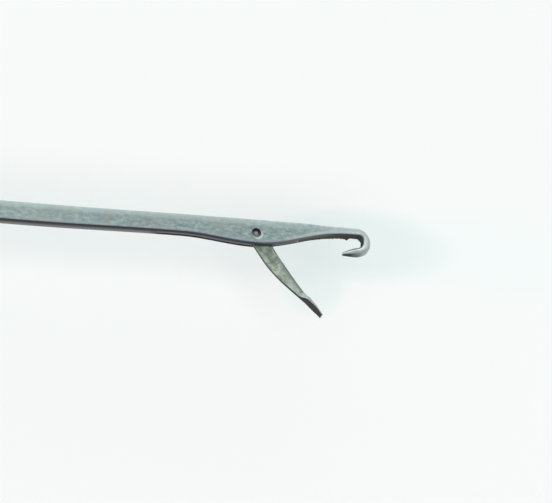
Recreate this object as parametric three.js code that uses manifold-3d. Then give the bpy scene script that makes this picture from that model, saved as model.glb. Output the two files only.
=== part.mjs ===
// Loop turner: a slim flat steel bar with a finger ring at one end and a latch hook at the other.
// It pulls a sewn fabric tube right side out: the hook catches the seam, and the latch closes over its point.
// Units are millimetres. The tool lies flat on a broad face, with +X towards the hook, +Y towards the
// nearly straight back edge and +Z up out of the other broad face. The pieces are drawn about the latch's
// rivet, whose axis is X = 0, Y = 0, and the last lines move the whole to the middle of its own footprint.

import * as THREE from "three";
import { mergeVertices } from "three/addons/utils/BufferGeometryUtils.js";
import Module from "manifold-3d";

const wasm = await Module();
wasm.setup();

// Bar
const overallLength = 265;
const barThickness = 1.2;
const shankWidth = 1.83;
const edgeRadius = 0.16;

// Finger ring, the far end of the bar bent round
const ringOuterDiameter = 24;
const neckBendRadius = 2.6;
const neckStraight = 1.2;
const ringEndGap = 0.3;

// Head: the bar narrows to a waist, deepens into two cheeks around the latch, and goes on as a slim beam
const rivetToBackEdge = 1.175;
const waistWidth = 1.66;
const rivetToWaist = 7.5;
const waistTaperRun = 13.5;
const rivetToBelly = 1.03;
const bellyRearRun = 6.8;
const bellyFrontRun = 8.05;
const beamWidth = 0.75;
const grooveLength = 9.1;
const grooveEndDepth = 0.22;

// The slight swell of the back edge over the slot
const swellHeight = 0.12;
const beamBackHeight = 0.04;
const rivetToSwellRear = 19;
const rivetToSwellTopRear = 1;
const rivetToSwellTopFront = 4.2;
const swellFrontRun = 2.7;

// Hook
const rivetToHookEnd = 10.54;
const hookInnerRadius = 0.55;
const hookWidth = 0.76;
const hookThickness = 1.1;
const hookEdgeRadius = 0.32;
const armWidth = 0.66;
const armLength = 1.26;
const tipWidth = 0.24;
const tipThickness = 0.5;
const taperPower = 1.2;

// Latch, a thin blade that spreads into a cupped spoon
const latchOpenDegrees = 52.3;
const latchClosedDegrees = -10.1;
const latchFoldedDegrees = -172.4;
const latchLength = 9.56;
const latchThickness = 0.34;
const latchEdgeRadius = 0.05;
const latchRootRadius = 0.76;
const latchBellyStation = 3.1;
const latchBellyOuter = 0.98;
const latchBellyInner = 0.44;
const latchNeckStation = 6.9;
const latchNeckOuter = 0.45;
const spoonInner = 0.22;
const spoonWidth = 1.03;
const spoonHeelWidth = 0.93;
const spoonFlare = 0.8;
const spoonHeelDepth = 0.39;
const spoonTipWall = 0.19;
const spoonTipWidth = 0.72;
const spoonBackDepthShare = 0.35;
const spoonBackBreadthShare = 0.3;
const cupLength = 1.9;
const cupWidth = 0.8;
const cupHeelWall = 0.15;

// Slot, rivet and running clearances
const slotSideClearance = 0.04;
const slotFloorClearance = 0.06;
const rivetDiameter = 0.6;
const rivetHeadDiameter = 0.8;
const rivetHeadHeight = 0.12;
const rivetRecess = 0.08;
const rivetDimpleDepth = 0.08;
const rivetDimpleRim = 0.05;
const rivetDimpleFloorDiameter = 0.3;
const rivetSeatClearance = 0.015;
const latchBoreClearance = 0.03;

// Places that follow from the sizes
const midPlane = barThickness / 2;
const shankAxisY = rivetToBackEdge - shankWidth / 2;
const hookCentreX = rivetToHookEnd - hookInnerRadius - hookWidth;
const beamBackY = rivetToBackEdge + beamBackHeight;
const hookCentreY = beamBackY - beamWidth - hookInnerRadius;
const ringCentreX = rivetToHookEnd - overallLength + ringOuterDiameter / 2;
const ringRadius = (ringOuterDiameter - shankWidth) / 2;
const neckCentreReach = Math.sqrt((ringRadius + neckBendRadius) ** 2 - neckBendRadius ** 2);
const neckX = ringCentreX + neckCentreReach + neckStraight;
const headRearX = -Math.max(rivetToWaist + waistTaperRun, rivetToSwellRear);
const slotWidth = latchThickness + 2 * slotSideClearance;
const wellBelowBelly = -2 * rivetToBelly;

// How finely curved stretches are divided
const cornerSteps = 3;
const ringStepDegrees = 6;
const bendStepDegrees = 10;
const taperStep = 1.4;
const headStep = 0.4;
const armSteps = 6;
const latchStep = 0.35;
const rootStartDegrees = 172;
const rootStepDegrees = 12;
const noseStepDegrees = 25;
const noseEndDegrees = 75;
const roundSides = 32;
const fullestCorner = 0.495;
const samePoint = 1e-5;

function mix(a, b, t) {
  return a + (b - a) * t;
}

// Rises from 0 to 1 along a half cosine wave.
function ease(t) {
  return 0.5 - 0.5 * Math.cos(Math.PI * Math.min(Math.max(t, 0), 1));
}

// A smooth function through [place, value] stations that never swings past them.
function curveThrough(stations) {
  const slopes = stations.map(([x, y], i) => {
    if (i === 0 || i === stations.length - 1) return 0;
    const before = (y - stations[i - 1][1]) / (x - stations[i - 1][0]);
    const after = (stations[i + 1][1] - y) / (stations[i + 1][0] - x);
    return before * after > 0 ? (2 * before * after) / (before + after) : 0;
  });
  return (x) => {
    let i = 0;
    while (i < stations.length - 2 && x > stations[i + 1][0]) i++;
    const [x0, y0] = stations[i];
    const [x1, y1] = stations[i + 1];
    const span = x1 - x0;
    const t = Math.min(Math.max((x - x0) / span, 0), 1);
    const start = (1 + 2 * t) * (1 - t) ** 2 * y0 + t * (1 - t) ** 2 * span * slopes[i];
    const end = t * t * (3 - 2 * t) * y1 + t * t * (t - 1) * span * slopes[i + 1];
    return start + end;
  };
}

// Evenly spaced values from one end to the other, no further apart than step.
function spread(from, to, step) {
  const count = Math.max(1, Math.ceil(Math.abs(to - from) / step - samePoint));
  return Array.from({ length: count + 1 }, (_, i) => mix(from, to, i / count));
}

// A rectangle with rounded corners, across the bar and up, as points in turn. The two corners on its
// right-hand side may be ovals of their own depth and breadth.
function roundedSection(width, thickness, radius, rightOval) {
  const r = Math.min(radius, fullestCorner * width, fullestCorner * thickness);
  const points = [];
  for (let corner = 0; corner < 4; corner++) {
    const sideways = corner === 0 || corner === 3 ? 1 : -1;
    const upwards = corner < 2 ? 1 : -1;
    const { depth, breadth } = sideways < 0 && rightOval ? rightOval : { depth: r, breadth: r };
    for (let step = 0; step <= cornerSteps; step++) {
      const angle = (corner + step / cornerSteps) * (Math.PI / 2);
      const across = sideways * (width / 2 - depth) + depth * Math.cos(angle);
      const up = upwards * (thickness / 2 - breadth) + breadth * Math.sin(angle);
      points.push(new THREE.Vector2(across, up));
    }
  }
  return points;
}

// One cross-section of the bar, square to its heading in the XY plane.
function sectionAt({ x, y, heading, width, thickness, radius, rightOval }) {
  const left = new THREE.Vector3(-Math.sin(heading), Math.cos(heading), 0);
  return roundedSection(width, thickness, radius, rightOval).map(
    (p) => new THREE.Vector3(x, y, midPlane + p.y).addScaledVector(left, p.x),
  );
}

// A closed surface through rings of points, each ring turning the same way about the line of travel.
function loft(rings) {
  const around = rings[0].length;
  const index = [];
  for (let ring = 0; ring + 1 < rings.length; ring++) {
    for (let k = 0; k < around; k++) {
      const here = ring * around + k;
      const next = ring * around + ((k + 1) % around);
      index.push(here, next, next + around, here, next + around, here + around);
    }
  }
  const last = (rings.length - 1) * around;
  for (let k = 1; k + 1 < around; k++) {
    index.push(0, k + 1, k, last, last + k, last + k + 1);
  }
  return new THREE.BufferGeometry().setFromPoints(rings.flat()).setIndex(index);
}

function solidOf(geometry) {
  const bare = geometry.clone();
  bare.deleteAttribute("normal");
  bare.deleteAttribute("uv");
  const merged = mergeVertices(bare, samePoint);
  return new wasm.Manifold(
    new wasm.Mesh({
      numProp: 3,
      vertProperties: merged.attributes.position.array,
      triVerts: new Uint32Array(merged.index.array),
    }),
  );
}

function geometryOf(solid) {
  const { vertProperties, triVerts } = solid.getMesh();
  const geometry = new THREE.BufferGeometry();
  geometry.setAttribute("position", new THREE.BufferAttribute(vertProperties, 3));
  geometry.setIndex(new THREE.BufferAttribute(triVerts, 1));
  return geometry;
}

function steel(color, roughness) {
  return new THREE.MeshStandardMaterial({ color, roughness, metalness: 0.9, flatShading: true });
}

function piece(name, geometry, material) {
  const mesh = new THREE.Mesh(geometry, material);
  mesh.name = name;
  return mesh;
}

// Finger ring: a straight neck, a tight bend to one side, then the bar runs round until its end
// closes on the outside of the neck.
function fingerRing() {
  const flat = { width: shankWidth, thickness: barThickness, radius: edgeRadius };
  const neckAngle = Math.atan2(neckBendRadius, neckCentreReach);
  const outer = ringOuterDiameter / 2;
  const centres = ringRadius + neckBendRadius;
  const keepOff = neckBendRadius + shankWidth / 2 + ringEndGap;
  const closing = Math.acos((centres ** 2 + outer ** 2 - keepOff ** 2) / (2 * outer * centres)) - neckAngle;
  const stations = [{ x: neckX, y: shankAxisY, heading: Math.PI, ...flat }];
  const step = THREE.MathUtils.degToRad(ringStepDegrees);
  for (const turn of spread(-Math.PI / 2, neckAngle - Math.PI, 2 * step)) {
    stations.push({
      x: ringCentreX + neckCentreReach + neckBendRadius * Math.cos(turn),
      y: shankAxisY + neckBendRadius + neckBendRadius * Math.sin(turn),
      heading: turn - Math.PI / 2,
      ...flat,
    });
  }
  for (const turn of spread(neckAngle, 2 * Math.PI - closing, step).slice(1)) {
    stations.push({
      x: ringCentreX + ringRadius * Math.cos(turn),
      y: shankAxisY + ringRadius * Math.sin(turn),
      heading: turn + Math.PI / 2,
      ...flat,
    });
  }
  return loft(stations.map(sectionAt));
}

// Shank: the straight flat bar between the ring's neck and the head.
function shank() {
  const flat = { y: shankAxisY, heading: 0, width: shankWidth, thickness: barThickness, radius: edgeRadius };
  return loft([neckX, headRearX].map((x) => sectionAt({ x, ...flat })));
}

// The back edge, nearly straight, with its slight swell over the slot.
function backEdge(x) {
  const top = rivetToBackEdge + swellHeight;
  if (x > -rivetToSwellTopRear) {
    return mix(top, beamBackY, ease((x - rivetToSwellTopFront) / swellFrontRun));
  }
  const rearRun = rivetToSwellRear - rivetToSwellTopRear;
  return mix(rivetToBackEdge, top, ease((x + rivetToSwellRear) / rearRun));
}

// The lower edge: it rises with the taper to the waist, drops to the belly under the rivet, and rises
// again to the slim beam.
function lowerEdge(x) {
  if (x > 0) return mix(-rivetToBelly, beamBackY - beamWidth, ease(x / bellyFrontRun));
  const width = mix(waistWidth, shankWidth, ease((-x - rivetToWaist) / waistTaperRun));
  return mix(-rivetToBelly, rivetToBackEdge - width, ease(-x / bellyRearRun));
}

// Cross-sections of the head and its beam, whose faces stay flat.
function headStations() {
  const taper = spread(headRearX, -bellyRearRun, taperStep);
  const cheeks = spread(-bellyRearRun, hookCentreX, headStep).slice(1);
  return [...taper, ...cheeks].map((x) => {
    const width = backEdge(x) - lowerEdge(x);
    return {
      x,
      y: backEdge(x) - width / 2,
      heading: 0,
      width,
      thickness: barThickness,
      radius: edgeRadius,
    };
  });
}

// Cross-sections round the hook's bend, widest at its far end, with its edges rounding off on the way.
function bendStations() {
  return spread(90, -90, bendStepDegrees).slice(1).map((degrees) => {
    const turn = THREE.MathUtils.degToRad(degrees);
    const width = mix(degrees > 0 ? beamWidth : armWidth, hookWidth, Math.cos(turn) ** 2);
    const reach = hookInnerRadius + width / 2;
    const rounding = ease((90 - degrees) / 90);
    return {
      x: hookCentreX + reach * Math.cos(turn),
      y: hookCentreY + reach * Math.sin(turn),
      heading: turn - Math.PI / 2,
      width,
      thickness: mix(barThickness, hookThickness, rounding),
      radius: mix(edgeRadius, hookEdgeRadius, rounding),
    };
  });
}

// Cross-sections of the arm that runs back from the bend and tapers, on its inner side, to a point
// with a rounded nose.
function tipStations() {
  const outerY = hookCentreY - hookInnerRadius - armWidth;
  const noseLength = tipWidth / 2;
  const taperLength = armLength - noseLength;
  const taper = spread(0, 1, 1 / armSteps).slice(1).map((t) => {
    const width = mix(armWidth, tipWidth, t ** taperPower);
    return {
      x: hookCentreX - taperLength * t,
      y: outerY + width / 2,
      width,
      thickness: mix(hookThickness, tipThickness, t ** taperPower),
    };
  });
  const nose = spread(0, noseEndDegrees, noseStepDegrees).slice(1).map((degrees) => {
    const turn = THREE.MathUtils.degToRad(degrees);
    return {
      x: hookCentreX - taperLength - noseLength * Math.sin(turn),
      y: outerY + tipWidth / 2,
      width: tipWidth * Math.cos(turn),
      thickness: tipThickness - tipWidth * (1 - Math.cos(turn)),
    };
  });
  return [...taper, ...nose].map((station) => ({ ...station, heading: -Math.PI, radius: hookEdgeRadius }));
}

// The latch's two edges and its breadth, along its own length from the rivet. The inner edge faces
// the hook when the latch is closed. Past its neck the blade is pressed flat into the spoon.
const spoonHeel = latchNeckStation + spoonFlare;
const latchInner = curveThrough([
  [0, latchRootRadius],
  [latchBellyStation, latchBellyInner],
  [latchNeckStation, spoonInner],
  [latchLength, spoonInner],
]);
const latchOuter = curveThrough([
  [0, -latchRootRadius],
  [latchBellyStation, -latchBellyOuter],
  [latchNeckStation, -latchNeckOuter],
  [spoonHeel, spoonInner - spoonHeelDepth],
  [latchLength, spoonInner - spoonTipWall],
]);
const latchBreadth = curveThrough([
  [0, latchThickness],
  [latchNeckStation, latchThickness],
  [spoonHeel, spoonHeelWidth],
  [(spoonHeel + latchLength) / 2, spoonWidth],
  [latchLength, spoonTipWidth],
]);

// The latch as it lies along +X: a round root about the rivet, the blade, and the spoon.
function latchBody() {
  const rings = [];
  for (const degrees of spread(rootStartDegrees, 90, rootStepDegrees)) {
    const turn = THREE.MathUtils.degToRad(degrees);
    const half = latchRootRadius * Math.sin(turn);
    rings.push(latchSection(latchRootRadius * Math.cos(turn), half, -half, latchThickness));
  }
  for (const u of spread(0, latchLength, latchStep).slice(1)) {
    rings.push(latchSection(u, latchInner(u), latchOuter(u), latchBreadth(u)));
  }
  return loft(rings);
}

// One cross-section of the latch: a flat blade that turns into a spoon whose back is rounded off.
function latchSection(x, inner, outer, thickness) {
  const width = inner - outer;
  const rounding = ease((x - latchNeckStation) / spoonFlare);
  const rightOval = {
    depth: mix(latchEdgeRadius, spoonBackDepthShare * width, rounding),
    breadth: mix(latchEdgeRadius, (spoonBackBreadthShare * thickness) / 2, rounding),
  };
  const y = (inner + outer) / 2;
  return sectionAt({ x, y, heading: 0, width, thickness, radius: latchEdgeRadius, rightOval });
}

// The hollow of the spoon: half an egg, tilted so that it is deepest at the heel and runs out
// towards the tip.
function spoonCup() {
  const depth = spoonHeelDepth - cupHeelWall;
  const egg = new THREE.SphereGeometry(1, roundSides, roundSides / 2);
  egg.scale(cupLength / 2, depth, cupWidth / 2);
  egg.rotateZ(Math.atan(depth / cupLength));
  egg.translate(spoonHeel + cupLength / 2, spoonInner + depth / 2, midPlane);
  return egg;
}

// A cylinder about the rivet's axis, centred in the bar.
function aboutRivet(radius, height) {
  const drum = new THREE.CylinderGeometry(radius, radius, height, roundSides);
  drum.rotateX(Math.PI / 2);
  drum.translate(0, 0, midPlane);
  return solidOf(drum);
}

function latch() {
  const bore = aboutRivet(rivetDiameter / 2 + latchBoreClearance, 2 * barThickness);
  return geometryOf(solidOf(latchBody()).subtract(solidOf(spoonCup())).subtract(bore));
}

// A flat plate of the slot's width, cut to an outline in the XY plane.
function slotPlate(outline) {
  const plate = new THREE.ExtrudeGeometry(outline, { depth: slotWidth, bevelEnabled: false });
  plate.translate(0, 0, midPlane - slotWidth / 2);
  return plate;
}

// The room that the blade needs when the latch lies at one angle.
function bladeRoom(degrees) {
  const stations = spread(0, latchNeckStation, latchStep);
  const inner = stations.map((u) => new THREE.Vector2(u, latchInner(u) + slotFloorClearance));
  const outer = stations.map((u) => new THREE.Vector2(u, latchOuter(u) - slotFloorClearance));
  const plate = slotPlate(new THREE.Shape([...outer, ...inner.reverse()]));
  return solidOf(plate.rotateZ(THREE.MathUtils.degToRad(degrees)));
}

// The slot between the cheeks: room for the latch's root all round, for its blade at both ends of
// the swing, and all that lies below, back to where the groove in the shank's edge begins.
function latchSlot() {
  const grooveEndY = lowerEdge(-grooveLength) + grooveEndDepth;
  const closed = THREE.MathUtils.degToRad(latchClosedDegrees);
  const outline = new THREE.Shape([
    new THREE.Vector2(0, 0),
    new THREE.Vector2(-grooveLength, grooveEndY),
    new THREE.Vector2(-grooveLength, wellBelowBelly),
    new THREE.Vector2(latchNeckStation, wellBelowBelly),
    new THREE.Vector2(latchNeckStation * Math.cos(closed), latchNeckStation * Math.sin(closed)),
  ]);
  const root = new THREE.CylinderGeometry(
    latchRootRadius + slotFloorClearance,
    latchRootRadius + slotFloorClearance,
    slotWidth,
    2 * roundSides,
  );
  root.rotateX(Math.PI / 2);
  root.translate(0, 0, midPlane);
  return solidOf(slotPlate(outline))
    .add(solidOf(root))
    .add(bladeRoom(latchClosedDegrees))
    .add(bladeRoom(latchFoldedDegrees));
}

// The outside of the rivet's upper half, as [radius, height above the bar's mid plane]: a plain shaft
// and a low peened head. Grown by a clearance, it is half of the hole through the cheeks.
function halfRivet(clearance, end) {
  const shaft = rivetDiameter / 2 + clearance;
  const head = rivetHeadDiameter / 2 + clearance;
  const seat = midPlane - rivetRecess - rivetHeadHeight - clearance;
  return [
    [shaft, seat],
    [head, seat + rivetHeadHeight / 2],
    [head, end],
  ];
}

// A solid turned about the rivet's axis, the same above and below the mid plane.
function turned(upperHalf) {
  const lowerHalf = upperHalf.map(([radius, height]) => [radius, -height]).reverse();
  const points = [...lowerHalf, ...upperHalf].map(([radius, height]) => new THREE.Vector2(radius, height));
  const lathe = new THREE.LatheGeometry(points, roundSides);
  lathe.rotateX(Math.PI / 2);
  lathe.translate(0, 0, midPlane);
  return lathe;
}

// The rivet, whose two heads lie a little below the faces, each with the dimple of the punch that spread it.
function latchRivet() {
  const end = midPlane - rivetRecess;
  const dimpleFloor = end - rivetDimpleDepth;
  return turned([
    ...halfRivet(0, end),
    [rivetHeadDiameter / 2 - rivetDimpleRim, end],
    [rivetDimpleFloorDiameter / 2, dimpleFloor],
    [0, dimpleFloor],
  ]);
}

function rivetHole() {
  const pastFace = midPlane + barThickness;
  return turned([...halfRivet(rivetSeatClearance, pastFace), [0, pastFace]]);
}

function hookHead() {
  const bar = loft([...headStations(), ...bendStations(), ...tipStations()].map(sectionAt));
  return geometryOf(solidOf(bar).subtract(latchSlot()).subtract(solidOf(rivetHole())));
}

const tool = new THREE.Group();
tool.add(piece("finger_ring", fingerRing(), steel(0x8e9a9c, 0.42)));
tool.add(piece("shank", shank(), steel(0x8e9a9c, 0.42)));
tool.add(piece("hook_head", hookHead(), steel(0x929e9f, 0.38)));
tool.add(piece("latch_rivet", latchRivet(), steel(0xa09a98, 0.35)));

const swing = new THREE.Group();
swing.rotation.z = THREE.MathUtils.degToRad(-latchOpenDegrees);
swing.add(piece("latch", latch(), steel(0x8a938c, 0.45)));
tool.add(swing);

tool.updateMatrixWorld(true);
const footprint = new THREE.Box3().setFromObject(tool, true);
const middle = footprint.getCenter(new THREE.Vector3());
tool.position.set(-middle.x, -middle.y, -footprint.min.z);

const part = new THREE.Group();
part.add(tool);

export default part;
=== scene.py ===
"""Loop turner of flat steel wire, lying open: camera, light, finishes and the finely made pieces.

Shapes are written in millimetres from the latch's rivet, with +X to the hook, +Y to the straight back
edge and +Z up. One function then moves a finished mesh to its place in metres.
"""

from functools import cached_property
from math import acos, atan, atan2, ceil, cos, exp, hypot, pi, radians, sin, sqrt

import bmesh
import bpy
from mathutils import Matrix, Vector, noise


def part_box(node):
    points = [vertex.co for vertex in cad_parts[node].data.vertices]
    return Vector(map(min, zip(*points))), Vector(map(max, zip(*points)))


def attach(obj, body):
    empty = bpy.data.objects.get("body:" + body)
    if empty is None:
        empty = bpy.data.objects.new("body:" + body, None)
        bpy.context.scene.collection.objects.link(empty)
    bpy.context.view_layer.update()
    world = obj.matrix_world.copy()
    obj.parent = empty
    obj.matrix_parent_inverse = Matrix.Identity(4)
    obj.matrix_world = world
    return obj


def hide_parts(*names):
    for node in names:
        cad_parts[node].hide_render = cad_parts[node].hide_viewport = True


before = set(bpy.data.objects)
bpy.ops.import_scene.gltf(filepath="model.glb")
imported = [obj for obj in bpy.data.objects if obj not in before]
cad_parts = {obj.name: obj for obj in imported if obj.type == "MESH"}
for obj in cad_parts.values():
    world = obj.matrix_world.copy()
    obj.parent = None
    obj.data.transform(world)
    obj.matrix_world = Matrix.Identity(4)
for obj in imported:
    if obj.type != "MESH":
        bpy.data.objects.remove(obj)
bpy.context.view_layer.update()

MM = 0.001

# Sizes of the bar
LENGTH = 265.0
THICK = 1.2
SHANK_WIDTH = 1.83
WAIST_WIDTH = 1.66
TAPER_START = 7.5
TAPER_RUN = 13.5
EDGE_ROUND = 0.16
BACK_ROUND = 0.42
BACK_ROUND_DEEP = 0.09
BACK_ROUND_ENDS = (7, 6)
BACK_EDGE = 1.175
SWELL = 0.12
BEAM_BACK = 0.04
SWELL_REAR = 19.0
SWELL_TOP_REAR = 1.0
SWELL_TOP_FRONT = 4.2
SWELL_FRONT_RUN = 2.7
BELLY = 1.03
BELLY_REAR_RUN = 6.8
BELLY_FRONT_RUN = 8.05
BEAM_WIDTH = 0.75
BEAM_START = 5.2
GROOVE_LENGTH = 9.1
GROOVE_END_DEPTH = 0.22

# Sizes of the finger ring
RING_DIAMETER = 24.0
NECK_BEND = 2.6
NECK_STRAIGHT = 1.2
RING_END_GAP = 0.3

# Sizes of the hook
HOOK_END = 10.54
HOOK_INNER = 0.55
HOOK_WIDTH = 0.76
HOOK_THICK = 1.1
HOOK_RISE = 0.06
HOOK_RISE_START = 6.5
HOOK_CORNER = 0.12
HOOK_HEEL = 0.08
HOOK_HEEL_TURN = pi / 3
HOOK_ROUND = 0.34
BEND_ROUND = 0.2
ARM_WIDTH = 0.66
ARM_LENGTH = 1.26
TIP_WIDTH = 0.24
TIP_THICK = 0.5
TAPER_POWER = 1.2
NOSE_TURNS = (radians(80), radians(10))

# Headings of the latch in degrees: as it lies, shut on the hook's point, and folded back along the bar
LATCH_OPEN = -52.3
LATCH_CLOSED = -10.1
LATCH_FOLDED = -172.4

# Sizes of the latch
LATCH_LENGTH = 9.56
LATCH_THICK = 0.34
LATCH_EDGE = 0.05
LATCH_INNER_EDGE = 0.11
ROOT_RADIUS = 0.76
BELLY_STATION = 3.1
BELLY_OUTER = 0.98
BELLY_INNER = 0.44
NECK_STATION = 6.9
NECK_OUTER = 0.45
SPOON_INNER = 0.22
SPOON_WIDTH = 1.03
SPOON_HEEL_WIDTH = 0.93
SPOON_TIP_WIDTH = 0.72
SPOON_FLARE = 0.8
SPOON_HEEL_DEPTH = 0.39
SPOON_TIP_WALL = 0.19
CUP_LENGTH = 1.9
CUP_WIDTH = 0.8
CUP_HEEL_WALL = 0.15
SPOON_BACK_DEEP = 0.35
SPOON_BACK_BROAD = 0.3

# Slot, rivet and clearances
SLOT_SIDE = 0.04
SLOT_FLOOR = 0.06
RIVET_SHAFT = 0.3
RIVET_HEAD = 0.4
RIVET_RECESS = 0.08
RIVET_DIMPLE = 0.08
RIVET_RIM = 0.05
RIVET_FLAT = 0.15
RIVET_CHAMFER = 0.02
DIMPLE_CORNER = (0.03, 0.012)
SEAT_MOUTH = 0.43
SEAT_CONE = 0.1
DENT_RADIUS = 0.51
DENT_FLOOR = 0.4
DENT_DEPTH = 0.04
DENT_CENTRE = (0.09, -0.11)
# The way that the dent's painted highlight faces
DENT_BRIGHT_WAY = (0.64, -0.77)
SEAT_CLEARANCE = 0.015
BORE_CLEARANCE = 0.03
CUT_PAST = 0.02

# Wear of the lower edge: the broken lip of the slot, and the ground-back corner on the far side.
# A pair is the place along the bar where a change starts or ends, and the length that it takes.
SLOT_LIP = 0.08
SLOT_LIP_START = 0.05 - GROOVE_LENGTH
SLOT_LIP_END = 5.4
GROUND_SHANK = 0.2
GROUND_HEAD = 0.32
GROUND_BEAM_SHARE = 0.62
GROUND_STARTS = (-40, 12)
GROUND_DEEPENS = (0.9, 1.2)
GROUND_LESSENS = (4.8, 1.8)
GROUND_ENDS = (8.5, 0.4)
NOTCH = 0.34
NOTCH_STARTS = (8.66, 0.12)
NOTCH_ENDS = (9.65, 0.25)
RAGGED_STARTS = (BEAM_START, 1.2)
RAGGED_ENDS = (10.1, 0.3)
BURR_REACH = 0.3

# Chips in that corner as (depth, how close they follow, seed), and burrs as (height, place, breadth)
CHIPS = ((0.09, 5.3, 0.4), (0.06, 17, 2.1))
BURRS = ((0.15, 8.57, 0.08), (0.12, 7.25, 0.06))

# Fineness of the meshes
ARM_STEP = 0.08
BEND_STEP = radians(4)
NOSE_STEP = radians(12)
NECK_STEP = radians(6)
RING_STEP = radians(3)
ROOT_STEP = radians(6)
SLOT_ROOT_STEP = pi / 60
CUP_SIDES = 40
CUP_RINGS = 24
ROUND_STEPS = 5
LATCH_ROUND_STEPS = 8
TURNED_SIDES = 64
BEAM_STEP = 0.04
HEAD_STEP = 0.12
TAPER_STEP = 0.5
SHANK_STEP = 3
LATCH_STEP = 0.1
SLOT_STEP = 0.06
LIP_STEP = 0.25
LARGEST_ROUND = 0.495
FLAT_WEIGHT = 80
WELD = 1e-4
FINAL_WELD = 2e-4

# Points kept along a flat side: their distance from its end, and the largest share of the side
SIDE_POINTS = ((0.12, 0.16), (0.3, 0.4))

# Places that follow from the sizes
MIDDLE = THICK / 2
SLOT_WIDTH = LATCH_THICK + 2 * SLOT_SIDE
SHANK_Y = BACK_EDGE - SHANK_WIDTH / 2
HOOK_X = HOOK_END - HOOK_INNER - HOOK_WIDTH
BEAM_BACK_Y = BACK_EDGE + BEAM_BACK
HOOK_Y = BEAM_BACK_Y - BEAM_WIDTH - HOOK_INNER
RING_X = HOOK_END - LENGTH + RING_DIAMETER / 2
RING_RADIUS = (RING_DIAMETER - SHANK_WIDTH) / 2
NECK_REACH = sqrt((RING_RADIUS + NECK_BEND) ** 2 - NECK_BEND**2)
NECK_X = RING_X + NECK_REACH + NECK_STRAIGHT
SPOON_HEEL = NECK_STATION + SPOON_FLARE

rivet_low, rivet_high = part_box("latch_rivet")
PIVOT = Vector(((rivet_low.x + rivet_high.x) / 2, (rivet_low.y + rivet_high.y) / 2, 0))


def mix(a, b, t):
    """The value that lies a share t of the way from a to b."""
    return a + (b - a) * t


def ease(t):
    """0 up to 0, 1 from 1 on, and smooth between."""
    return 0.5 - 0.5 * cos(pi * min(max(t, 0), 1))


def rise(value, start, run):
    """0 up to start, 1 from start + run on, and smooth between."""
    return ease((value - start) / run)


def fall(value, end, run):
    """1 up to end - run, 0 from end on, and smooth between."""
    return ease((end - value) / run)


def spread(start, end, step):
    """Evenly spaced values from start to end, no further apart than step."""
    count = max(1, ceil(abs(end - start) / step - 1e-6))
    return [mix(start, end, i / count) for i in range(count + 1)]


def curve_through(stations):
    """A smooth function through (place, value) stations that never swings past them."""
    slopes = [0.0] * len(stations)
    for i in range(1, len(stations) - 1):
        (x0, y0), (x1, y1), (x2, y2) = stations[i - 1 : i + 2]
        before, after = (y1 - y0) / (x1 - x0), (y2 - y1) / (x2 - x1)
        if before * after > 0:
            slopes[i] = 2 * before * after / (before + after)

    def value(x):
        i = 0
        while i < len(stations) - 2 and x > stations[i + 1][0]:
            i += 1
        (x0, y0), (x1, y1) = stations[i : i + 2]
        span = x1 - x0
        t = min(max((x - x0) / span, 0), 1)
        start = (1 + 2 * t) * (1 - t) ** 2 * y0 + t * (1 - t) ** 2 * span * slopes[i]
        end = t * t * (3 - 2 * t) * y1 + t * t * (t - 1) * span * slopes[i + 1]
        return start + end

    return value


# Mesh helpers


def section(width, thick, radius, outer=None, steps=ROUND_STEPS):
    """A rectangle with rounded corners, across the bar and up, with some points along its flat sides.

    The two corners on its outer side, where across is negative, may have an oval rounding of their own.
    """
    r = min(radius, LARGEST_ROUND * width, LARGEST_ROUND * thick)
    far = (r, r)
    if outer:
        far = (min(outer[0], 2 * LARGEST_ROUND * width - r), min(outer[1], LARGEST_ROUND * thick))
    points = []
    for k, (side, way) in enumerate([(1, 1), (-1, 1), (-1, -1), (1, -1)]):
        a, u = (r, r) if side > 0 else far
        for i in range(steps + 1):
            turn = (k + i / steps) * pi / 2
            points.append((side * (width / 2 - a) + a * cos(turn), way * (thick / 2 - u) + u * sin(turn)))
    filled = []
    for i, here in enumerate(points):
        filled.append(here)
        if i % (steps + 1) == steps:
            ahead = points[(i + 1) % len(points)]
            length = hypot(ahead[0] - here[0], ahead[1] - here[1])
            near, further = (min(share, reach / length) for reach, share in SIDE_POINTS)
            for share in (near, further, 0.5, 1 - further, 1 - near):
                filled.append((mix(here[0], ahead[0], share), mix(here[1], ahead[1], share)))
    return filled


def placed(points, x, y, heading):
    """Section points set across a heading in the XY plane."""
    return [Vector((x - p * sin(heading), y + p * cos(heading), MIDDLE + u)) for p, u in points]


def start_loop(bm, points):
    """The first section of a bar, closed by a cap."""
    verts = [bm.verts.new(p) for p in points]
    cap = bm.faces.new(verts)
    return list(cap.verts)


def pull(bm, loop, points):
    """Extrudes the open end of a bar to its next section."""
    edges = [e for v in loop for e in v.link_edges if e.other_vert(v) in loop]
    made = bmesh.ops.extrude_edge_only(bm, edges=list(set(edges)))
    fresh = {g for g in made["geom"] if isinstance(g, bmesh.types.BMVert)}
    ahead = [next(e.other_vert(v) for e in v.link_edges if e.other_vert(v) in fresh) for v in loop]
    for vert, point in zip(ahead, points):
        vert.co = point
    return ahead


def spin(bm, loop, centre, angle, step):
    """Bends the bar on round a centre in the XY plane."""
    edges = {e for v in loop for e in v.link_edges if e.other_vert(v) in loop}
    steps = max(2, ceil(abs(angle) / step))
    made = bmesh.ops.spin(
        bm, geom=list(loop) + list(edges), cent=(*centre, 0), axis=(0, 0, 1), angle=angle, steps=steps
    )
    last = [g for g in made["geom_last"] if isinstance(g, bmesh.types.BMVert)]
    turn = Matrix.Rotation(angle, 3, "Z")
    middle = Vector((*centre, 0))
    goal = [middle + turn @ (v.co - middle) for v in loop]
    return [min(last, key=lambda v, p=p: (v.co - p).length_squared) for p in goal]


def draw_out(bm, sections):
    """A bar through its sections, closed at its start: gives its open end."""
    loop = start_loop(bm, sections[0])
    for points in sections[1:]:
        loop = pull(bm, loop, points)
    return loop


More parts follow.
